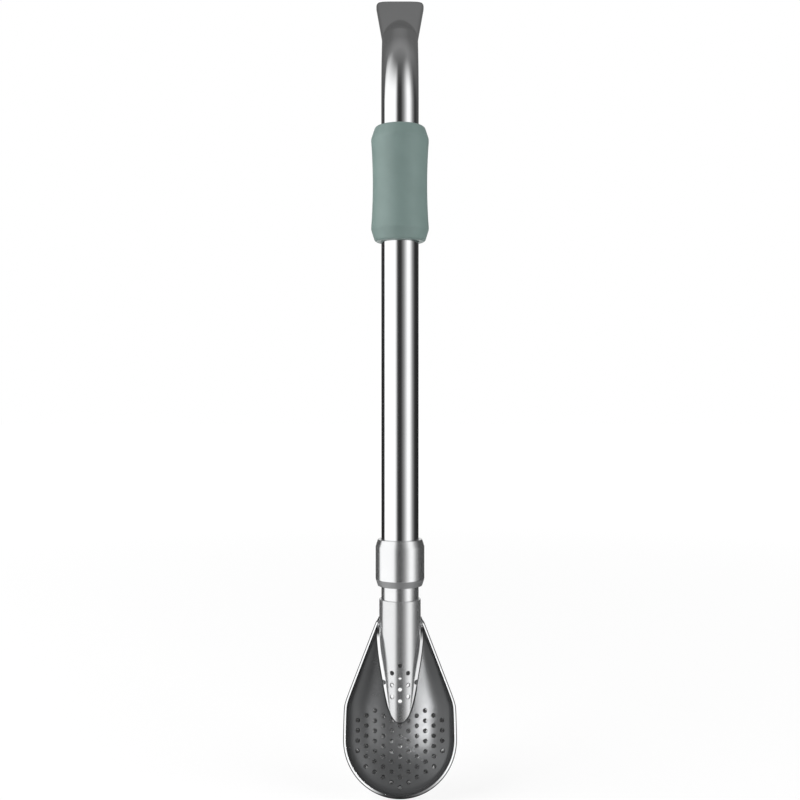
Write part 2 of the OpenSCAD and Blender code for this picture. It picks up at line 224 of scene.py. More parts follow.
# Mouthpiece
# The end of the straw: a round shank brazed on the bend, flattened into a flared blade with a slot to drink
# from. It is pressed from the same stainless tube, so the round of the tube runs out in an arch on the blade.
SHANK, BLADE = 7.5, 19.0
BLADE_WIDTH, BLADE_THICK = 12.4, 2.6
CORNER, TUCK, BLADE_EDGE = 1.4, 0.5, 0.22
ARCH_START, ARCH_SLOPE, ARCH_EASE = -3.0, 0.36, 1.5
ARCH_SOFT, ARCH_SIDE, ARCH_RUN = 0.5, 0.35, 4.0
BLADE_POWER = 5.0


def on_mouth(angle, across, along):
    """Point of the mouthpiece: across is 0 on its outside, along runs from the end of the round shank."""
    k = np.clip((along - BLADE + CORNER) / CORNER, 0, 1)
    flare = np.clip(along / (BLADE - CORNER), 0, 1)
    a = TUBE_R + (BLADE_WIDTH / 2 - TUBE_R) * flare - TUCK * (1 - np.sqrt(1 - k * k)) + across
    b = BLADE_THICK / 2 + across + 0 * a
    r = TUBE_R + across
    c, s = np.cos(angle), np.sin(angle)
    x, y = a * c, b * s
    long = np.hypot(x, y)
    flat = long * (np.abs(c) ** BLADE_POWER + np.abs(s) ** BLADE_POWER) ** (-1 / BLADE_POWER)
    begun = np.clip(along - ARCH_START, 0, None)
    drop = ARCH_SLOPE * begun * begun / (begun + ARCH_EASE)
    up = np.abs(y) / long
    under = np.clip(r * r - drop * drop * (1 - up * up), 0, None)
    tube = np.where(drop < r, np.clip(np.sqrt(under) - drop * up, 0, None), 0)
    soft = ARCH_SOFT * np.clip(up / ARCH_SIDE, 0, 1) ** 2 * np.clip(begun / ARCH_RUN, 0, 1) + 1e-9
    out = np.maximum(flat, tube) + np.clip(soft - np.abs(flat - tube), 0, None) ** 2 / (4 * soft)
    u, v = x / long * out, y / long * out
    return on_stem(np.arctan2(v, u), np.hypot(u, v), BEND_END + SHANK + along)


mouth = turned("mouth_blade", section([
    (-TUBE_WALL, -SHANK, BRAZED_EDGE), (0, -SHANK, BRAZED_EDGE),
    (0, BLADE, BLADE_EDGE), (-TUBE_WALL, BLADE, BLADE_EDGE)], step=0.3), on_mouth, 160)
mouth.data.materials.append(stem_steel)
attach(mouth, "stem")
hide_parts("mouthpiece")

# Grip sleeve
# A moulded silicone sleeve, pushed over the stem so that the hot steel can be held. It has a slight waist
# between two shoulders, tapered ends with soft edges and a dry matt skin.
GRIP_FOOT, GRIP_TOP = 36.7, 64.2
GRIP_BORE, GRIP_R, WAIST = 4.53, 6.95, 0.42
TAIL, TAIL_LOSS, HEAD, HEAD_LOSS = 3.0, 0.95, 3.0, 1.0
GRIP_EDGE, GRIP_BORE_EDGE, SHOULDER = 0.8, 0.2, 2.5
SAGE_DEEP, SAGE = (0.152, 0.214, 0.200, 1), (0.166, 0.232, 0.217, 1)


def round_axis(angle, across, along):
    """Point at an angle round the axis of the stem."""
    return np.stack(np.broadcast_arrays(across * np.cos(angle), across * np.sin(angle), along), -1)


low, high = GRIP_FOOT + TAIL, GRIP_TOP - HEAD
waisted = [(GRIP_R - WAIST * (1 - ((2 * (z - low) / (high - low) - 1) ** 2)), z, None)
           for z in np.linspace(low, high, 17)[1:-1]]
grip = turned("grip_silicone", section([
    (GRIP_BORE, GRIP_FOOT, GRIP_BORE_EDGE), (GRIP_R - TAIL_LOSS, GRIP_FOOT, GRIP_EDGE),
    (GRIP_R, low, SHOULDER), *waisted, (GRIP_R, high, SHOULDER),
    (GRIP_R - HEAD_LOSS, GRIP_TOP, GRIP_EDGE), (GRIP_BORE, GRIP_TOP, GRIP_BORE_EDGE)], arc=8),
    round_axis, 128)

sage, tree, skin = new_finish("sage_silicone")
place = tree.nodes.new("ShaderNodeTexCoord").outputs["Object"]
fine = node(tree, "ShaderNodeTexNoise", Vector=place, Scale=9000.0, Detail=2.0).outputs[0]
broad = node(tree, "ShaderNodeTexNoise", Vector=place, Scale=220.0, Detail=4.0).outputs[0]
matt = node(tree, "ShaderNodeBump", Height=fine, Strength=0.25, Distance=1.5e-5).outputs[0]
feed(tree, skin.inputs["Base Color"], blended(tree, spread(tree, broad, *NOISE), SAGE_DEEP, SAGE))
feed(tree, skin.inputs["Roughness"], spread(tree, fine, *NOISE, 0.40, 0.50))
feed(tree, skin.inputs["Normal"], matt)
for key, number in (("Specular IOR Level", 0.5), ("Sheen Weight", 0.08), ("Sheen Roughness", 0.5)):
    skin.inputs[key].default_value = number
grip.data.materials.append(sage)
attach(grip, "grip")
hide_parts("grip_sleeve")

# Retaining ring and seal
# A small steel shoulder brazed on the foot of the stem, which the nut pulls down on a flat silicone washer.
# Both are hidden by the nut, so the frame's own solids stay and only get their finish.
SEAL_DEEP, SEAL_PALE = (0.66, 0.66, 0.63, 1), (0.74, 0.74, 0.71, 1)
ring_steel = steel("ring_steel", STEEL_TONE, 0.3, (60, 60, 5200), 0.4)
washer, tree, skin = new_finish("seal_silicone")
place = tree.nodes.new("ShaderNodeTexCoord").outputs["Object"]
fine = node(tree, "ShaderNodeTexNoise", Vector=place, Scale=6000.0, Detail=3.0).outputs[0]
feed(tree, skin.inputs["Base Color"], blended(tree, fine, SEAL_DEEP, SEAL_PALE))
feed(tree, skin.inputs["Roughness"], spread(tree, fine, *NOISE, 0.42, 0.55))
for name, material in (("retaining_ring", ring_steel), ("seal_ring", washer)):
    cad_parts[name].data.materials.clear()
    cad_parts[name].data.materials.append(material)

# Union nut
# A turned steel collar with chamfered ends. The lower chamfer is rougher and painted dark grey, a painted
# dark reflection. Its lip sits behind the retaining ring, and the thread in its lower half draws the filter
# head up against the seal.
NUT_TOP, NUT_FOOT = -34.5, -45.6
NUT_R, NUT_END_R, NUT_CHAMFER, NUT_LIP = 5.88, 5.33, 1.7, 1.8
NUT_BORE, NUT_SEAT_R, NUT_THREAD_R = 4.58, 4.96, 4.70
NUT_ROUND, NUT_INNER, NUT_BORE_EDGE = 0.25, 0.05, 0.08
THREAD_TOP, THREAD_FOOT, THREAD_EDGE = -39.7, -43.1, 0.02
THREAD_PITCH, THREAD_START, THREAD_TURNS, RUN_OUT = 1.0, -42.6, 3, 0.125
GROOVE_FOOT, GROOVE_TIP, GROOVE_DEEP = 0.361, 0.23, 0.24
ON_WALL, TURNED_STEP = 0.01, 0.06
TURNED_MARKS = (50, 50, 5200)


def thread(angle, along, base, crest, first, last):
    """Share of the thread's height at a place: 1 on the crest, 0 between the turns and past their ends."""
    turn = angle / (2 * np.pi)
    whole = np.round((along - THREAD_START) / THREAD_PITCH - turn)
    off = np.abs(along - THREAD_START - THREAD_PITCH * (whole + turn))
    ends = np.clip(np.minimum(whole + turn - first, last - whole - turn) / RUN_OUT, 0, 1)
    return np.clip((base - off) / (base - crest), 0, 1) * ends


def in_nut(angle, across, along):
    """Point of the nut, with the groove of the thread cut in its bore."""
    cut = thread(angle, along, GROOVE_FOOT, GROOVE_TIP, -1, THREAD_TURNS + 2)
    bored = ((across < NUT_THREAD_R + ON_WALL) & (along < THREAD_TOP - THREAD_EDGE)
             & (along > THREAD_FOOT + THREAD_EDGE))
    return round_axis(angle, across + GROOVE_DEEP * np.where(bored, cut, 0), along)


turned_steel = steel("turned_steel", (0.76, 0.765, 0.77), 0.2, TURNED_MARKS, 0.1, 0.92)
# Painted dark reflection: the lower chamfer's steel is toned dark grey, darker than the turned steel.
chamfer_steel = steel("chamfer_steel", (0.26, 0.262, 0.265), 0.42, TURNED_MARKS, 0.1, 0.5)
nut = turned("coupling_nut", section([
    (NUT_END_R, NUT_FOOT, CUT_EDGE), (NUT_R, NUT_FOOT + NUT_CHAMFER, NUT_ROUND),
    (NUT_R, NUT_TOP - NUT_CHAMFER, NUT_ROUND), (NUT_END_R, NUT_TOP, CUT_EDGE),
    (NUT_BORE, NUT_TOP, NUT_BORE_EDGE), (NUT_BORE, NUT_TOP - NUT_LIP, NUT_INNER),
    (NUT_SEAT_R, NUT_TOP - NUT_LIP, NUT_INNER), (NUT_SEAT_R, THREAD_TOP, NUT_INNER),
    (NUT_THREAD_R, THREAD_TOP, THREAD_EDGE), (NUT_THREAD_R, THREAD_FOOT, THREAD_EDGE),
    (NUT_SEAT_R, THREAD_FOOT, NUT_INNER), (NUT_SEAT_R, NUT_FOOT, NUT_BORE_EDGE)],
    step=TURNED_STEP), in_nut, 128)
nut.data.materials.append(turned_steel)
nut.data.materials.append(chamfer_steel)
# Faces of the lower chamfer take the painted dark reflection.
for face in nut.data.polygons:
    wide = math.hypot(face.center.x, face.center.y) / MM
    if wide > NUT_END_R - CUT_EDGE and face.center.z / MM < NUT_FOOT + NUT_CHAMFER - CUT_EDGE:
        face.material_index = 1
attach(nut, "nut")
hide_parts("union_nut")

# Threaded neck
# A turned steel neck, as wide as the stem, with three turns of thread under the nut. Its lower end is brazed
# into the filter tube, and a plain band of it shows between the two.
NECK_TOP, NECK_FOOT, NECK_ROOT_R, THREAD_HIGH = -38.9, -53.25, 4.62, 0.26
RIDGE_FOOT, RIDGE_TIP, NECK_EDGE, NECK_END = 0.276, 0.14, 0.04, 0.05


def on_neck(angle, across, along):
    """Point of the neck, with the ridge of the thread on its outside."""
    ridge = thread(angle, along, RIDGE_FOOT, RIDGE_TIP, 0, THREAD_TURNS)
    outside = ((across > NECK_ROOT_R - ON_WALL) & (along < NECK_TOP - NECK_END)
               & (along > THREAD_FOOT + NECK_END))
    return round_axis(angle, across + THREAD_HIGH * np.where(outside, ridge, 0), along)


neck = turned("neck_thread", section([
    (TUBE_R - TUBE_WALL, NECK_FOOT, CUT_EDGE), (TUBE_R, NECK_FOOT, CUT_EDGE),
    (TUBE_R, THREAD_FOOT, NECK_EDGE), (NECK_ROOT_R, THREAD_FOOT, NECK_EDGE),
    (NECK_ROOT_R, NECK_TOP, CUT_EDGE), (TUBE_R - TUBE_WALL, NECK_TOP, CUT_EDGE)],
    step=TURNED_STEP), on_neck, 128)
neck.data.materials.append(turned_steel)
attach(neck, "head")
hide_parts("threaded_neck")

# Filter tube
# A short stainless tube over the neck, cut away to a long tongue that lies on the spoon. The tongue has ten
# punched holes and one that is cut open in each edge, and the edge is turned out to a narrow lip that is
# welded to the spoon.
FILTER_R, FILTER_BORE, FILTER_TOP, FILTER_EASE = 5.0, 4.52, -48.85, 1.5
HOLE_R, BURR = 0.5, 0.05
TONGUE_FIRST, TONGUE_PITCH, TONGUE_STEP = -63.75, 2.8, math.radians(22.5)
TONGUE_DROP, SIDE_STEP, SIDE_DROP, TONGUE_REACH = 0.64, 2.38, 1.57, -80
WELD_GAP, FORWARD_MOST, BACK_MOST = 0.03, -14.0, 5.0
SPOON_Z, TILT = -53.0, math.radians(23)
SPOON_LEN, SPOON_R, SPOON_FLANK, SPOON_SOFT = 28.0, 12.5, 0.38, 0.4
SPOON_START, FLANK_START, HUG_R, TUBE_BED = 0.1, 1.0, 5.06, 2.6
NECK_DEEP, DEEP, SPOON_POWER = 0.62, 5.05, 2.4


def cap(down, more, power):
    """Share of the width or depth that the round end of the spoon leaves."""
    past = np.clip((down - SPOON_LEN) / (SPOON_R + more), 0, 1)
    return (1 - past ** power) ** (1 / power)


def straight_half(down, more):
    """Half width of the spoon along its flanks, before the round end closes it."""
    wide = HUG_R + more + SPOON_FLANK * np.clip(down - FLANK_START, 0, None)
    return (wide + SPOON_R + more - np.sqrt((wide - SPOON_R - more) ** 2 + SPOON_SOFT ** 2)) / 2


def floor_deep(across, down, more, room=0):
    """Depth of a pressed sheet under the spoon's rim: more is its way out from the spoon's inside, and room
    the extra depth in the middle."""
    q = np.clip(down / SPOON_LEN, 0, 1)
    middle = NECK_DEEP + (DEEP + room - NECK_DEEP) * q * (4 - q ** 3) / 3 + more
    half = straight_half(down, more) * cap(down, more, 2)
    s = np.clip(np.abs(across) / np.maximum(half, 1e-9), 0, 1)
    return middle * cap(down, more, SPOON_POWER) * (1 - s ** SPOON_POWER) ** (1 / SPOON_POWER)


def off_spoon(across, down, out):
    """Place in the frame from the spoon's own: across it, down along its rim, and out of the rim."""
    return np.stack(np.broadcast_arrays(across, -down * math.sin(TILT) - out * math.cos(TILT),
                                        SPOON_Z - down * math.cos(TILT) + out * math.sin(TILT)), -1)


def to_spoon(y, z):
    """Down and out of the spoon's rim for a place in the frame."""
    return (-y * math.sin(TILT) - (z - SPOON_Z) * math.cos(TILT),
            -y * math.cos(TILT) + (z - SPOON_Z) * math.sin(TILT))


def tongue_end(angle, radius):
    """Height at which the tube's wall ends on the spoon, or in its channel at the back.
    The angle is from the front."""
    angle = np.asarray(angle, float)
    x, y = radius * np.sin(angle), -radius * np.cos(angle)
    levels = np.linspace(SPOON_Z + 1, TONGUE_REACH, 1200)[:, None]
    down, out = to_spoon(y, levels)
    over = (out > WELD_GAP - floor_deep(x, down, 0)) & (np.abs(x) < straight_half(down, 0))
    kept = over | (down < TUBE_BED)
    first = np.argmin(kept, axis=0)
    return levels[first, 0]


def inside(spots, ring):
    """Which spots lie inside a closed ring, both flat."""
    hit = np.zeros(len(spots), bool)
    for (x0, y0), (x1, y1) in zip(ring, np.roll(ring, -1, 0)):
        if y0 != y1:
            crosses = (y0 > spots[:, 1]) != (y1 > spots[:, 1])
            hit ^= crosses & (spots[:, 0] < x0 + (x1 - x0) * (spots[:, 1] - y0) / (y1 - y0))
    return hit


def cut_out(outline, holes, seeds):
    """Triangles of a flat blank inside its outline and clear of its holes, meshed through the seeds."""
    spots, edges = [], []
    for ring in (outline, *holes):
        first = len(spots)
        spots += [tuple(p) for p in ring]
        edges += [(first + k, first + (k + 1) % len(ring)) for k in range(len(ring))]
    spots += [tuple(p) for p in seeds]
    flat, _, faces, *_ = delaunay_2d_cdt(spots, edges, [], 1, 1e-5)
    flat, faces = np.array([tuple(p) for p in flat]), np.array([list(f) for f in faces])
    middle = flat[faces].mean(1)
    keep = inside(middle, np.asarray(outline))
    for ring in holes:
        keep &= ~inside(middle, np.asarray(ring))
    used = np.unique(faces[keep])
    ids = np.full(len(flat), -1)
    ids[used] = np.arange(len(used))
    return flat[used], ids[faces[keep]]


ROUND_EDGE = ((0.1, 0.6), (0.3, 1.0), (0.7, 1.0), (0.9, 0.6))


def unit(v):
    """Vectors brought to a length of 1."""
    return v / np.maximum(np.linalg.norm(v, axis=-1, keepdims=True), 1e-12)


def formed(flat, faces, front, back, burr, same=None, edge=ROUND_EDGE):
    """Sheet formed from a blank: front and back give its two faces, and its cut edges are rounded by burr.
    same joins points of the blank that meet when it is rolled. Gives points, faces and corner normals."""
    if same is not None:
        faces = same[faces]
    tiny, count = 1e-3, len(flat)
    ahead, behind = front(flat), back(flat)
    side = []
    for shape in (front, back):
        du = shape(flat + (tiny, 0)) - shape(flat - (tiny, 0))
        dv = shape(flat + (0, tiny)) - shape(flat - (0, tiny))
        side.append(unit(np.cross(du, dv)))
    facing = np.sign(np.sum(side[0] * (ahead - behind), 1))
    way = 1 if facing.sum() > 0 else -1
    side = [side[0] * way, side[1] * -way]
    a, b, c = (ahead[faces[:, k]] for k in range(3))
    flip = np.sum(np.cross(b - a, c - a) * side[0][faces].sum(1), 1) < 0
    faces = np.where(flip[:, None], faces[:, ::-1], faces)
    runs = np.concatenate([faces[:, [0, 1]], faces[:, [1, 2]], faces[:, [2, 0]]])
    known = {tuple(r) for r in runs.tolist()}
    rim = np.array([r for r in runs.tolist() if (r[1], r[0]) not in known])
    out = np.zeros((count, 3))
    for i, j in rim:
        push = np.cross(ahead[j] - ahead[i], ahead[i] - behind[i] + ahead[j] - behind[j])
        out[i] += push
        out[j] += push
    out = unit(out)
    rows = [ahead + (behind - ahead) * f + out * np.reshape(burr, (-1, 1)) * g for f, g in edge]
    edge_ids = np.unique(rim)
    points = [ahead, behind]
    stack = [np.arange(count)]
    total = 2 * count
    for row in rows:
        ids = np.full(count, -1)
        ids[edge_ids] = total + np.arange(len(edge_ids))
        points.append(row[edge_ids])
        stack.append(ids)
        total += len(edge_ids)
    stack.append(np.arange(count) + count)
    points = np.concatenate(points)
    start, stop = rim.T
    walls = np.concatenate([np.stack([upper[stop], upper[start], lower[start], lower[stop]], 1)
                            for upper, lower in zip(stack, stack[1:])])
    cross = np.cross(points[walls[:, 2]] - points[walls[:, 0]], points[walls[:, 3]] - points[walls[:, 1]])
    soft = np.zeros((len(points), 3))
    for k in range(4):
        np.add.at(soft, walls[:, k], cross)
    soft = unit(soft)
    under = faces[:, ::-1] + count
    both = np.concatenate([side[0], side[1]])
    normals = np.concatenate([both[faces.ravel()], both[under.ravel()], soft[walls.ravel()]])
    return points, [*faces.tolist(), *under.tolist(), *walls.tolist()], normals


def joined(parts):
    """One set of points, faces and corner normals from several."""
    points, faces, normals, base = [], [], [], 0
    for p, f, n in parts:
        used = np.unique(np.concatenate([np.ravel(q) for q in f]))
        ids = np.full(len(p), -1)
        ids[used] = base + np.arange(len(used))
        points.append(p[used])
        faces += [ids[q].tolist() for q in f]
        normals.append(n)
        base += len(used)
    return np.concatenate(points), faces, np.concatenate(normals)


def rolled(radius):
    """Blank to tube: the blank's first measure runs round the outside of the tube, its second up it."""
    def shape(flat):
        angle, z = flat[:, 0] / FILTER_R, flat[:, 1]
        if radius < FILTER_R:
            gap = np.clip(z - np.interp(angle, end_angle, end_out), 0, None)
            ease = np.clip(1 - gap / FILTER_EASE, 0, 1) ** 2
            z = z + ease * np.interp(angle, end_angle, end_in - end_out)
        return np.stack([radius * np.sin(angle), -radius * np.cos(angle), z], 1)
    return shape


# The blank is the tube unrolled, with the edge of the tongue below and its holes punched.
end_angle = np.linspace(-np.pi, np.pi, 721)
end_out, end_in = tongue_end(end_angle, FILTER_R), tongue_end(end_angle, FILTER_BORE)
around = FILTER_R * np.pi
round_count, up_count = 120, 28
lower_edge = [(a, np.interp(a / FILTER_R, end_angle, end_out)) for a in np.linspace(-around, around, 241)]
seam_z = np.linspace(lower_edge[0][1], FILTER_TOP, up_count)[1:-1]
blank = [*lower_edge, *[(around, z) for z in seam_z],
         *[(a, FILTER_TOP) for a in np.linspace(around, -around, round_count + 1)],
         *[(-around, z) for z in seam_z[::-1]]]
tongue_columns = ((0, 0, 4), (-1, TONGUE_DROP, 3), (1, TONGUE_DROP, 3),
                  (-SIDE_STEP, SIDE_DROP, 1), (SIDE_STEP, SIDE_DROP, 1))
tongue_spots = [(FILTER_R * TONGUE_STEP * step, TONGUE_FIRST - TONGUE_PITCH * (lower + k))
                for step, lower, count in tongue_columns for k in range(count)]
ring_turns = np.linspace(0, 2 * np.pi, 28, endpoint=False)
ROW_STEP, EDGE_CLEAR = 0.87, 0.6
TUBE_MESH, TUBE_CLEAR = 0.5, 0.8


def hole_ring(spot, radius):
    """Ring of points round a hole."""
    return np.stack([spot[0] + radius * np.cos(ring_turns), spot[1] + radius * np.sin(ring_turns)], 1)


def seeds_in(outline, spots, pitch, clear, lines=()):
    """Even field of points inside the outline, clear of its edge, of the holes at spots and of lines."""
    ring = np.asarray(outline)
    lo, hi = ring.min(0), ring.max(0)
    field = np.array([(x + (k % 2) * pitch / 2, y)
                      for k, y in enumerate(np.arange(lo[1], hi[1], pitch * ROW_STEP))
                      for x in np.arange(lo[0], hi[0], pitch)])
    field = field[inside(field, ring)]
    close = pitch * EDGE_CLEAR
    for kept, least in ((ring, close), (np.asarray(spots), clear), *[(line, close) for line in lines]):
        gap = np.hypot(field[:, None, 0] - kept[None, :, 0], field[:, None, 1] - kept[None, :, 1])
        field = field[np.min(gap, 1) > least]
    return np.concatenate([field, *lines])


tongue_rings = [hole_ring(s, HOLE_R + BURR) for s in tongue_spots]
flat, faces = cut_out(blank, tongue_rings, seeds_in(blank, tongue_spots, TUBE_MESH, TUBE_CLEAR))
seam_left = {round(z, 4): k for k, (a, z) in enumerate(flat) if a < -around + 1e-4}
same = np.array([seam_left[round(z, 4)] if a > around - 1e-4 else k for k, (a, z) in enumerate(flat)])
tube = formed(flat, faces, rolled(FILTER_R), rolled(FILTER_BORE), BURR, same)

# The lip springs from the wall of the tube and leans out to its seat on the floor of the spoon. Its lines
# run down one side, round the tip and up the other side.
LIP_LEAN, LIP_LEAN_NECK, LIP_LEAST = math.tan(math.radians(26)), math.tan(math.radians(24)), 0.1
LIP_SPAN, LIP_SUNK, LIP_SUNK_UNDER, LIP_BURR = 0.6, 0.1, 0.3, 0.04
LIP_WHITE, TIP_UP = 0.5, 0.45
SEAM, SEAM_NECK, SEAM_MOST, SEAM_RANGE = 0.36, 0.1, 0.85, (-72, -64)
LEAN_RANGE = (-64, -57)
NOTCH, NOTCH_UP, NOTCH_CLEAR, NOTCH_STRETCH = 0.55, 0.1, 0.1, (1.5, 0.75)
lip_z = np.array([-53.6, -56.7, -60.7, -64.0, -67.6, -70.0, -72.0, -74.4, -76.1, -77.0, -77.35])
lip_out = np.array([5.36, 5.62, 5.33, 4.84, 4.29, 3.93, 3.56, 2.84, 1.95, 1.0, 0.0])
lip_root = np.array([4.985, 4.9, 4.55, 3.85, 3.15, 2.85, 2.5, 1.97, 1.26, 0.55, 0.0])


def smooth_line(values, count):
    """Even run of points along a smooth curve through the rows of values."""
    values = np.asarray(values, float)
    knots = np.concatenate([[0], np.cumsum(np.linalg.norm(np.diff(values, axis=0), axis=1))])
    slope = np.gradient(values, knots, axis=0)
    fine = np.linspace(0, knots[-1], 1500)
    k = np.clip(np.searchsorted(knots, fine, side="right") - 1, 0, len(knots) - 2)
    h = (knots[k + 1] - knots[k])[:, None]
    t = ((fine - knots[k])[:, None]) / h
    line = ((2 * t ** 3 - 3 * t ** 2 + 1) * values[k] + (t ** 3 - 2 * t ** 2 + t) * h * slope[k]
            + (3 * t ** 2 - 2 * t ** 3) * values[k + 1] + (t ** 3 - t ** 2) * h * slope[k + 1])
    run = np.concatenate([[0], np.cumsum(np.linalg.norm(np.diff(line, axis=0), axis=1))])
    even = np.linspace(0, run[-1], count)
    return np.stack([np.interp(even, run, line[:, j]) for j in range(line.shape[1])], 1), run[-1]


def on_floor(x, z):
    """How far forward the floor of the spoon lies at x and z."""
    lo, hi = np.full(len(x), FORWARD_MOST), np.full(len(x), BACK_MOST)
    for _ in range(50):
        mid = (lo + hi) / 2
        down, out = to_spoon(mid, z)
        above = out + floor_deep(x, down, 0) > 0
        lo, hi = np.where(above, mid, lo), np.where(above, hi, mid)
    return (lo + hi) / 2


mirrored = np.concatenate([np.stack([lip_out, lip_z], 1), np.stack([-lip_out, lip_z], 1)[-2::-1]])
root_lift = np.concatenate([lip_root, -lip_root[-2::-1]])
root_z = np.concatenate([lip_z[:-1], [lip_z[-1] + TIP_UP], lip_z[-2::-1]])
lip_line, lip_long = smooth_line(np.stack([mirrored[:, 0], mirrored[:, 1], root_lift, root_z], 1), 181)
outer = np.stack([lip_line[:, 0], on_floor(lip_line[:, 0], lip_line[:, 1]), lip_line[:, 1]], 1)
root_x = np.clip(lip_line[:, 2], -FILTER_R, FILTER_R)
root = np.stack([root_x, -np.sqrt(FILTER_R ** 2 - root_x ** 2), lip_line[:, 3]], 1)
nudge = 1e-3
d_x = np.stack([np.full(len(outer), nudge), on_floor(outer[:, 0] + nudge, outer[:, 2]) - outer[:, 1],
                np.zeros(len(outer))], 1)
d_z = np.stack([np.zeros(len(outer)), on_floor(outer[:, 0], outer[:, 2] + nudge) - outer[:, 1],
                np.full(len(outer), nudge)], 1)
lift = unit(np.cross(d_x, d_z))
lift *= np.sign(-lift[:, 1:2])
lip_wide = np.hypot(outer[:, 0] - root[:, 0], outer[:, 2] - root[:, 2])
seam_share = np.interp(outer[:, 2], SEAM_RANGE, (SEAM, SEAM_NECK)) / np.maximum(lip_wide, 0.01)
crest = outer + (root - outer) * np.clip(seam_share, 0, SEAM_MOST)[:, None]
crest_wide = np.hypot(crest[:, 0] - root[:, 0], crest[:, 2] - root[:, 2])
lean = np.interp(outer[:, 2], LEAN_RANGE, (LIP_LEAN, LIP_LEAN_NECK))
crest[:, 1] = np.minimum(root[:, 1] + crest_wide * lean, outer[:, 1] - LIP_LEAST)
outward = root * (1, 1, 0) / FILTER_R
lip_run = np.linspace(0, lip_long, len(root))


def lip_at(values, run):
    """Places along the lip, from the rows of values."""
    return np.stack([np.interp(run, lip_run, values[:, k]) for k in range(3)], 1)


def lip_top(flat):
    """Upper face of the lip, from the tube's wall to its crest."""
    q = flat[:, 1:2] / LIP_SPAN
    return lip_at(root - outward * LIP_SUNK, flat[:, 0]) * (1 - q) + lip_at(crest, flat[:, 0]) * q


def lip_under(flat):
    """Lower face of the lip, from inside the tube's wall to its seat on the spoon."""
    q = flat[:, 1:2] / LIP_SPAN
    sunk = lip_at(root - outward * LIP_SUNK_UNDER, flat[:, 0])
    seat = lip_at(outer + lift * WELD_GAP, flat[:, 0])
    return sunk * (1 - q) + seat * q


lip_blank = [*[(t, 0) for t in lip_run], *[(lip_long, LIP_SPAN * k / 4) for k in (1, 2, 3)],
             *[(t, LIP_SPAN) for t in lip_run[::-1]], *[(0, LIP_SPAN * k / 4) for k in (3, 2, 1)]]
side_z = TONGUE_FIRST - TONGUE_PITCH * SIDE_DROP + NOTCH_UP
tip = len(outer) // 2
off_side = np.abs(outer[:, 2] - side_z)
notch_at = (np.argmin(off_side[:tip]), tip + 1 + np.argmin(off_side[tip + 1:]))
notches = [(lip_run[k], LIP_SPAN) for k in notch_at]
notch = hole_ring((0, 0), NOTCH) * NOTCH_STRETCH
lip_seeds = [np.array((t, LIP_SPAN * q)) for t in lip_run[1:-1] for q in (0.2, 0.4, 0.6, 0.8)]
lip_seeds = [s for s in lip_seeds
             if min(np.hypot(*((s - n) / NOTCH_STRETCH)) for n in notches) > NOTCH + NOTCH_CLEAR]
flat, faces = cut_out(lip_blank, [notch + n for n in notches], lip_seeds)
lip = formed(flat, faces, lip_top, lip_under, LIP_BURR)
filter_pipe = piece("filter_pipe", *joined([tube, lip]))

# The tube is satin, the outer strip of the lip is bright, and the cut edge under it, at the weld, is painted
# near black as a painted contact shadow.
PRESSED_MARKS = (900, 900, 900)
satin_steel = steel("satin_steel", (0.67, 0.675, 0.68), 0.2, (2200, 2200, 60), 0.02, 0.85)
# Painted contact shadow: steel toned near black for cut edges that meet the other sheet.
seam_steel = steel("seam_steel", (0.06, 0.061, 0.062), 0.4, PRESSED_MARKS, 0.2)
rim_steel = steel("rim_steel", STEEL_TONE, 0.1, PRESSED_MARKS, 0.05)
for material in (satin_steel, seam_steel, rim_steel):
    filter_pipe.data.materials.append(material)
at_run, at_side = flat[faces].mean(1).T
bright = (1 - at_side / LIP_SPAN) * np.interp(at_run, lip_run, crest_wide) < LIP_WHITE
# The lip's cut edges take the painted contact shadow.
for k, face in enumerate(filter_pipe.data.polygons[len(tube[1]):]):
    face.material_index = 1 if k >= 2 * len(faces) else 2 if k < len(faces) and bright[k] else 0
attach(filter_pipe, "head")
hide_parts("filter_tube")

# Spoon front
# The strainer that lies in the herb: stainless sheet pressed to a spoon and punched with a staggered field of
# holes. It is open under the tongue, and its rim is welded into the rim of the back sheet.
FRONT_SHEET, CUT_R = 0.3, 5.03
FIELD_PITCH, FIELD_FIRST = 2.27, 24.83
FIELD_ROWS, FIELD_FULL, FIELD_SIDE = 7, 3, 5
RIM_EDGE = ((0.02, 0.9), (0.06, 1.0), (1.3, 0.1), (1.3, -0.1))
RIM_HIGH_NECK, RIM_HIGH, RIM_HIGH_END, RIM_GROW = 0.03, 0.17, 0.28, 8
RIM_SKIN, RIM_BAND, RIM_ROWS, RIM_ROWS_FROM = 0.05, 0.3, (0.12, 0.22, 0.36), 6
NECK_BLEND, NECK_LEAST, SINK_POWER = 1.3, 0.25, 40
CUT_TURN, CUT_KEPT, CUT_LEAST = 1.7, 1.5, 0.1
SHEET_MESH, SHEET_CLEAR = 0.45, 0.85
FADE_FROM, FADE_TO, FADE_LEAST = -0.088, -0.066, 0.5
wide_end = float(straight_half(np.array(SPOON_LEN), 0))


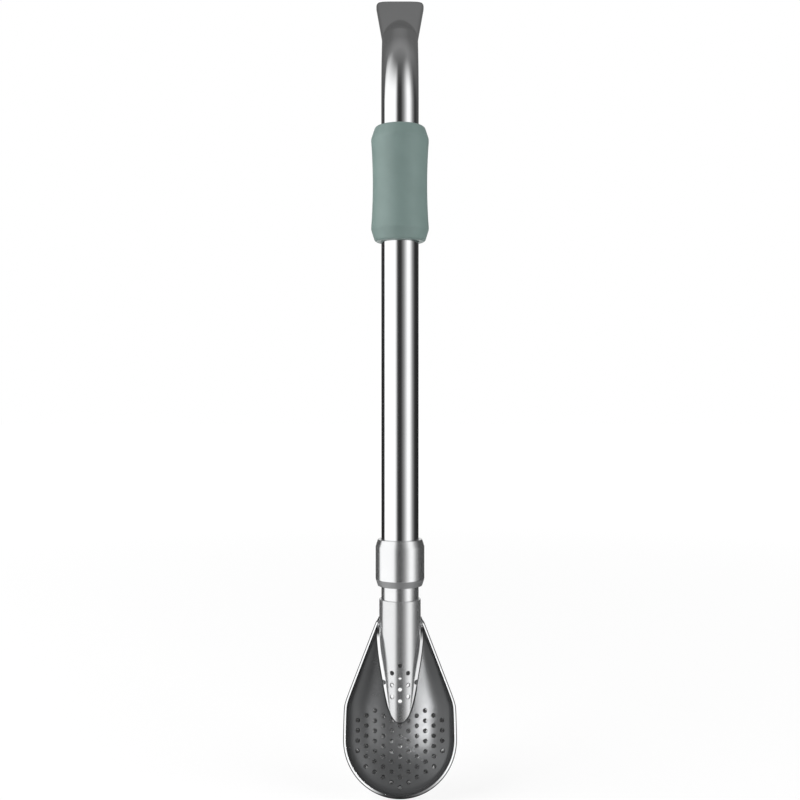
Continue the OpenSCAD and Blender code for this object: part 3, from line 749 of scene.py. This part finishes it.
def pressed(more, deep, sink=0):
    """Blank to spoon. The blank is the spoon's outline, stretched evenly so that the steep walls get room;
    deep gives the depth across and down the spoon, and sink lowers the very rim."""
    def shape(flat):
        u, v = flat[:, 0], flat[:, 1]
        held = np.minimum(v, SPOON_LEN)
        wide = straight_half(held, 0)
        slim = more * np.clip(v / NECK_BLEND, NECK_LEAST, 1)
        x_flank = straight_half(held, slim) * np.sin(np.pi / 2 * np.clip(u / wide, -1, 1))
        far = np.maximum(np.hypot(u, v - SPOON_LEN), 1e-9)
        share = np.sin(np.pi / 2 * np.clip(far / wide_end, 0, 1))
        end = (SPOON_R + more) * (v - SPOON_LEN) / far
        x = np.where(v > SPOON_LEN, straight_half(SPOON_LEN + end, more) * u / far * share, x_flank)
        down = np.where(v > SPOON_LEN, SPOON_LEN + end * share, v)
        edge = np.clip(np.where(v > SPOON_LEN, far / wide_end, np.abs(u) / wide), 0, 1)
        return off_spoon(x, down, -deep(x, down, more) - sink * edge ** SINK_POWER)
    return shape


def to_blank(x, down):
    """Place on the blank for a place across and down the spoon's inside."""
    if down <= SPOON_LEN:
        half = float(straight_half(np.array(down), 0))
        return half * 2 / math.pi * math.asin(np.clip(x / half, -1, 1)), down
    sideways, on = x / float(straight_half(np.array(down), 0)), (down - SPOON_LEN) / SPOON_R
    share = math.hypot(sideways, on)
    far = wide_end * 2 / math.pi * math.asin(min(share, 1))
    return far * sideways / share, SPOON_LEN + far * on / share


flank = np.linspace(SPOON_START, SPOON_LEN, 76)
flank_half = straight_half(flank, 0)
end_turn = np.linspace(0, np.pi, 90)[1:-1]


def rim_at(by, first=0):
    """Line along the rim of the blank, set in by a distance and begun some steps down the flank."""
    half, down, end = flank_half[first:] - by, flank[first:], wide_end - by
    return [*zip(-half, down),
            *[(-end * math.cos(t), SPOON_LEN + end * math.sin(t)) for t in end_turn],
            *zip(half[::-1], down[::-1])]


rim_line = rim_at(0)
cut_angle = np.linspace(CUT_TURN, -CUT_TURN, 241)
cut_down = to_spoon(-CUT_R * np.cos(cut_angle), tongue_end(cut_angle, CUT_R))[0]
passage = [to_blank(CUT_R * math.sin(a), d) for a, d in zip(cut_angle, cut_down)
           if abs(a) < CUT_KEPT and d > SPOON_START + CUT_LEAST]
column = FIELD_PITCH * math.cos(math.radians(30))
field = []
for k in range(-FIELD_SIDE, FIELD_SIDE + 1):
    top = max(0, abs(k) - FIELD_FULL)
    for r in range(top, FIELD_ROWS - max(0, abs(k) - FIELD_FULL - 1)):
        field.append((k * column, FIELD_FIRST + FIELD_PITCH * (r - abs(k) / 2)))


def spoon_blank(outline, spots, lines=()):
    """Blank with its holes, meshed, with rows along the rim that carry the bend of the sheet there."""
    rings = [np.array([to_blank(x, d) for x, d in hole_ring(s, HOLE_R + BURR)]) for s in spots]
    rows = [np.array(rim_at(by, RIM_ROWS_FROM)) for by in RIM_ROWS]
    seeds = seeds_in(outline, [to_blank(*s) for s in spots], SHEET_MESH, SHEET_CLEAR, [*rows, *lines])
    return cut_out(outline, rings, seeds)


# The sheet is painted near black and darker still towards its upper end, both painted shade, and its rim is
# bright.
front_steel = steel("front_steel", (0.10, 0.102, 0.104), 0.23, PRESSED_MARKS, 0.03, 0.65)
tree = front_steel.node_tree
shader = tree.nodes["Principled BSDF"]
place = tree.nodes["Texture Coordinate"].outputs["Object"]
# Painted shade: the sheet's tone is scaled down towards its upper end.
level = node(tree, "ShaderNodeSeparateXYZ", Vector=place).outputs[2]
painted_shade = node(tree, "ShaderNodeVectorMath", in0=shader.inputs["Base Color"].links[0].from_socket)
painted_shade.operation = "SCALE"
feed(tree, painted_shade.inputs["Scale"], spread(tree, level, FADE_FROM, FADE_TO, 1.0, FADE_LEAST))
feed(tree, shader.inputs["Base Color"], painted_shade.outputs[0])
flat, faces = spoon_blank([*rim_line, *passage], field)
inner = pressed(0, floor_deep)
on_rim = to_spoon(*inner(flat)[:, 1:].T)[1] > -RIM_SKIN
rise = np.interp(flat[:, 1], (SPOON_START, NECK_BLEND, SPOON_LEN, SPOON_LEN + RIM_GROW),
                 (RIM_HIGH_NECK, RIM_HIGH, RIM_HIGH, RIM_HIGH_END))
spoon = piece("spoon_front", *joined([formed(flat, faces, inner, pressed(FRONT_SHEET, floor_deep),
                                             np.where(on_rim, rise, BURR), edge=RIM_EDGE)]))
spoon.data.materials.append(front_steel)
spoon.data.materials.append(rim_steel)
for face in spoon.data.polygons[2 * len(faces):]:
    face.material_index = int(to_spoon(face.center.y / MM, face.center.z / MM)[1] > -RIM_BAND)
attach(spoon, "head")
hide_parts("spoon_bowl")

# Spoon back
# The outer sheet of the strainer, pressed a little deeper, so that liquid drawn through the holes runs behind
# the front sheet into the tube. A channel beds the tube, and seven holes lie behind the tongue.
BACK_IN, BACK_OUT, ROOM = 0.35, 0.6, 1.8
BACK_SINK, BACK_BAND = 0.2, 0.5
HIDDEN_MID, HIDDEN_PITCH, HIDDEN_UP, HIDDEN_DOWN = 16.55, 2.4, -0.4, 0.62
CHANNEL, CHANNEL_TILT, CHANNEL_SOFT, CHANNEL_END = 5.5, math.radians(29), 0.5, 22
CHANNEL_OFF, SHALLOW = 2, 1.5
CHANNEL_PARTS, PART_MOST = (0.9, 0.96, 0.99, 1.0, 1.012), 0.985
LINE_FROM, LINE_TO, LINE_STEP = 0.3, 11, 0.15


def back_deep(across, down, more):
    """Depth with the channel that hugs the filter tube and then runs forward into the floor."""
    plain = floor_deep(across, down, more, ROOM)
    c2 = (HUG_R + more - BACK_IN) ** 2 - across ** 2
    c, lean = np.sqrt(np.clip(c2, 0, None)), math.tan(CHANNEL_TILT)
    channel = np.minimum((c + down * math.sin(TILT)) / math.cos(TILT),
                         (c + lean * CHANNEL - down * (lean * math.cos(TILT) - math.sin(TILT)))
                         / (math.cos(TILT) + lean * math.sin(TILT)))
    channel = np.where((c2 > 0) & (down < CHANNEL_END), channel, plain - CHANNEL_OFF)
    soft = CHANNEL_SOFT * np.clip(plain / SHALLOW, 0, 1)
    return (plain + channel + np.sqrt((plain - channel) ** 2 + soft ** 2)) / 2


hidden = [(k * column, HIDDEN_MID + HIDDEN_PITCH * r)
          for k, r in ((0, -1), (0, 0), (0, 1), (-1, HIDDEN_UP), (-1, HIDDEN_DOWN),
                       (1, HIDDEN_UP), (1, HIDDEN_DOWN))]
neck_half = float(flank_half[0])
neck_line = [(x, SPOON_START) for x in np.linspace(neck_half, -neck_half, 40)[1:-1]]
# Lines of points along the walls of the channel keep its edges even.
channel_lines = []
beside = np.arange(LINE_FROM, LINE_TO, LINE_STEP)
beside_in, beside_out = straight_half(beside, 0), straight_half(beside, BACK_OUT)
for part in CHANNEL_PARTS:
    wall = (HUG_R + BACK_OUT - BACK_IN) * part
    runs = wall < beside_out * PART_MOST
    line = np.stack([beside_in * 2 / np.pi * np.arcsin(np.minimum(wall / beside_out, 1)), beside], 1)[runs]
    channel_lines += [line, line * (-1, 1)]
flat, faces = spoon_blank([*rim_line, *neck_line], hidden, channel_lines)
back_steel = steel("back_steel", STEEL_TONE, 0.2, PRESSED_MARKS, 0.05, 0.8)
spoon_back = piece("spoon_back_sheet", *joined([formed(flat, faces, pressed(BACK_IN, back_deep),
                                                       pressed(BACK_OUT, back_deep, BACK_SINK), BURR)]))
spoon_back.data.materials.append(back_steel)
spoon_back.data.materials.append(seam_steel)
# The back sheet's cut edge along the rim takes the painted shadow, the shade in the seam between the two
# sheets.
for face in spoon_back.data.polygons[2 * len(faces):]:
    face.material_index = int(to_spoon(face.center.y / MM, face.center.z / MM)[1] > -BACK_BAND)
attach(spoon_back, "head")
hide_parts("spoon_back")

# Camera
# It looks level along +Y at the middle of the straw, from a quarter of a metre in front, through a lens that
# just takes in its whole length. The tones stay as they are lit, so that the white ground stays white.
CAMERA_AWAY, LENS, LENS_DROP = 0.252, 47.25, -0.00625
camera = bpy.data.objects.new("camera", bpy.data.cameras.new("camera"))
bpy.context.scene.collection.objects.link(camera)
camera.location = (0, -CAMERA_AWAY, 0)
camera.rotation_euler = (math.pi / 2, 0, 0)
camera.data.sensor_width = 36
camera.data.lens = LENS
camera.data.shift_y = LENS_DROP
camera.data.clip_start = 0.01
bpy.context.scene.camera = camera
bpy.context.scene.view_settings.view_transform = "Standard"

# Studio
# A pale floor under soft lamps, and paper round the set that only the polished steel mirrors: white at both
# sides and behind, dark towards the camera and behind each shoulder, grey overhead. Small lamps of their own
# light the spoon's front sheet and the hollow behind it.
FLOOR_Z, FLOOR_HALF = cad_box[0].z - 0.001, 3
AMBIENT, FLOOR_GLOW, PAPER_GLOW = 0.31, 1.07, 1.3
WHITER_FROM, WHITER_TO, WHITE_NEAR, WHITE_FAR = 0.1, 0.6, 0.76, 0.93
PURE_WHITE = (1, 1, 1, 1)
DARK, WHITE = 0.02, 1.0
PAPER_SIDES, PAPER_R, PAPER_HOLE, PAPER_TOP, PAPER_LIFT = 64, 0.6, 0.005, 0.9, 0.0005
BACK_LIFT, SHADE_FROM, SHADE_TO = math.radians(38), math.radians(28), math.radians(68)
CEILING_NEAR, CEILING_FAR, CEILING_MID, CEILING_END = 0.04, 0.5, 0.2, 0.1
SPOON_MIDDLE = (0, -0.008, -0.07)
world = bpy.data.worlds.new("studio")
bpy.context.scene.world = world
world.use_nodes = True
tree = world.node_tree
tree.nodes.clear()


def seen_directly(tree):
    """1 for camera, glossy and transmission rays, 0 for the rest."""
    path = tree.nodes.new("ShaderNodeLightPath").outputs
    either = figured(tree, "MAXIMUM", path["Is Camera Ray"], path["Is Glossy Ray"])
    return figured(tree, "MAXIMUM", either, path["Is Transmission Ray"])


def off_axis(tree, position):
    """Distance of a place from the axis of the stem."""
    level = node(tree, "ShaderNodeVectorMath", in0=position, in1=(1, 1, 0))
    level.operation = "MULTIPLY"
    length = node(tree, "ShaderNodeVectorMath", in0=level.outputs[0])
    length.operation = "LENGTH"
    return length.outputs["Value"]


ambient = node(tree, "ShaderNodeBackground", Color=PURE_WHITE, Strength=AMBIENT).outputs[0]
backdrop = node(tree, "ShaderNodeBackground", Color=PURE_WHITE, Strength=1.0).outputs[0]
sky = node(tree, "ShaderNodeMixShader", in0=seen_directly(tree), in1=ambient, in2=backdrop)
node(tree, "ShaderNodeOutputWorld", Surface=sky.outputs[0])


def stage_mesh(name, points, faces, material):
    """Part of the set, which isn't part of the straw."""
    mesh = bpy.data.meshes.new(name)
    mesh.from_pydata(points, [], faces)
    made = bpy.data.objects.new(name, mesh)
    bpy.context.scene.collection.objects.link(made)
    mesh.materials.append(material)
    return made


pale, tree, _ = new_finish("pale_floor")
tree.nodes.clear()
matt_floor = node(tree, "ShaderNodeBsdfDiffuse", Color=(0.9, 0.9, 0.9, 1)).outputs[0]
white_floor = node(tree, "ShaderNodeEmission", Color=PURE_WHITE, Strength=FLOOR_GLOW).outputs[0]
position = tree.nodes.new("ShaderNodeNewGeometry").outputs["Position"]
whiter = spread(tree, off_axis(tree, position), WHITER_FROM, WHITER_TO, WHITE_NEAR, WHITE_FAR)
white_share = figured(tree, "MULTIPLY", seen_directly(tree), whiter)
cover = node(tree, "ShaderNodeMixShader", in0=white_share, in1=matt_floor, in2=white_floor)
node(tree, "ShaderNodeOutputMaterial", Surface=cover.outputs[0])
floor_corners = [(x * FLOOR_HALF, y * FLOOR_HALF, FLOOR_Z) for x, y in ((-1, -1), (1, -1), (1, 1), (-1, 1))]
stage_mesh("floor", floor_corners, [(0, 1, 2, 3)], pale)

paper, tree, _ = new_finish("studio_paper")
tree.nodes.clear()
position = tree.nodes.new("ShaderNodeNewGeometry").outputs["Position"]
at_x, at_y, at_z = node(tree, "ShaderNodeSeparateXYZ", Vector=position).outputs
bearing = figured(tree, "ARCTAN2", at_x, figured(tree, "MULTIPLY", at_y, -1.0))
bands = node(tree, "ShaderNodeValToRGB", in0=spread(tree, bearing, -math.pi, math.pi))
# Bearing in degrees, with 0 towards the camera, and the tone of the paper there.
tones = ((-180, WHITE), (-166, WHITE), (-160, DARK), (-112, DARK), (-106, WHITE), (-30, WHITE), (-14, 0.06),
         (0, DARK), (10, 0.06), (25, 0.27), (38, 0.68), (48, WHITE), (60, WHITE), (70, 0.7), (80, 0.3),
         (97, 0.06), (111, DARK), (160, DARK), (166, WHITE), (180, WHITE))
ramp = bands.color_ramp
while len(ramp.elements) < len(tones):
    ramp.elements.new(0.5)
for stop, (degrees, tone) in zip(ramp.elements, tones):
    stop.position = (degrees + 180) / 360
    stop.color = (tone, tone, tone, 1)
from_axis = off_axis(tree, position)
height = figured(tree, "ARCTAN2", at_z, from_axis)
behind = figured(tree, "DIVIDE", at_y, from_axis, clamp=True)
raised = figured(tree, "MULTIPLY_ADD", behind, BACK_LIFT, height)
above = spread(tree, raised, SHADE_FROM, SHADE_TO, kind="SMOOTHSTEP")
ceiling = spread(tree, figured(tree, "ABSOLUTE", at_y),
                 CEILING_NEAR, CEILING_FAR, CEILING_MID, CEILING_END)
overhead = blended(tree, above, bands.outputs[0], ceiling)
glow = node(tree, "ShaderNodeEmission", Color=overhead, Strength=PAPER_GLOW)
node(tree, "ShaderNodeOutputMaterial", Surface=glow.outputs[0])
turns = [(math.sin(a), -math.cos(a)) for a in np.linspace(0, 2 * math.pi, PAPER_SIDES, endpoint=False)]
paper_foot = FLOOR_Z + PAPER_LIFT
rings = ((PAPER_HOLE, paper_foot), (PAPER_R, paper_foot), (PAPER_R, PAPER_TOP), (PAPER_HOLE, PAPER_TOP))
paper_points = [(r * x, r * y, z) for r, z in rings for x, y in turns]
paper_ids = np.arange(len(paper_points)).reshape(len(rings), PAPER_SIDES)
next_ids = np.roll(paper_ids, -1, 1)
paper_faces = np.stack([paper_ids[:-1], next_ids[:-1], next_ids[1:], paper_ids[1:]], -1).reshape(-1, 4)
screen = stage_mesh("studio_paper", paper_points, paper_faces.tolist(), paper)
screen.visible_camera = False
screen.visible_diffuse = False
screen.visible_shadow = False
screen.visible_transmission = False


def lamp(name, place, size, power, aim):
    """Soft rectangular lamp that faces aim, kept out of the mirrored room."""
    data = bpy.data.lights.new(name, "AREA")
    data.shape = "RECTANGLE"
    data.size, data.size_y = size
    data.energy = power
    made = bpy.data.objects.new(name, data)
    bpy.context.scene.collection.objects.link(made)
    made.location = place
    away = np.subtract(place, aim)
    made.rotation_euler = (math.acos(away[2] / np.linalg.norm(away)), 0, math.atan2(away[0], -away[1]))
    made.visible_camera = False
    made.visible_glossy = False
    return made


def group(name, *members):
    """Collection of the pieces that a lamp lights, or that cast its shadows."""
    made = bpy.data.collections.new(name)
    for member in members:
        made.objects.link(member)
    return made


# Key and fill light the whole set, and the other lamps reach only the sheets of the spoon.
lamp("key", (-0.45, -0.16, 0.2), (0.5, 0.7), 3.2, (0, 0, 0))
lamp("fill", (0.45, -0.2, 0.1), (0.4, 0.7), 2.3, (0, 0, 0))
front_lit, hollow_lit = group("front_lit", spoon), group("hollow_lit", spoon, spoon_back)
for name, where, span, power, reached in (
        ("spoon_glow", (-0.076, -0.278, 0.01), (0.08, 0.105), 0.43, front_lit),
        ("spoon_dim", (0.082, -0.276, 0.015), (0.08, 0.105), 0.075, front_lit),
        ("spoon_top", (0, -0.3, 0.4), (1.6, 0.7), 0.75, hollow_lit)):
    near_lamp = lamp(name, where, span, power, SPOON_MIDDLE)
    near_lamp.visible_glossy = True
    near_lamp.light_linking.receiver_collection = reached
inside_lit, shading = group("inside_lit", spoon_back), group("unshaded", nut)
for name, side in (("hollow_left", -1), ("hollow_right", 1)):
    through = lamp(name, (side * 0.2, -0.16, -0.05), (0.12, 0.12), 0.13, SPOON_MIDDLE)
    through.light_linking.receiver_collection = inside_lit
    through.light_linking.blocker_collection = shading
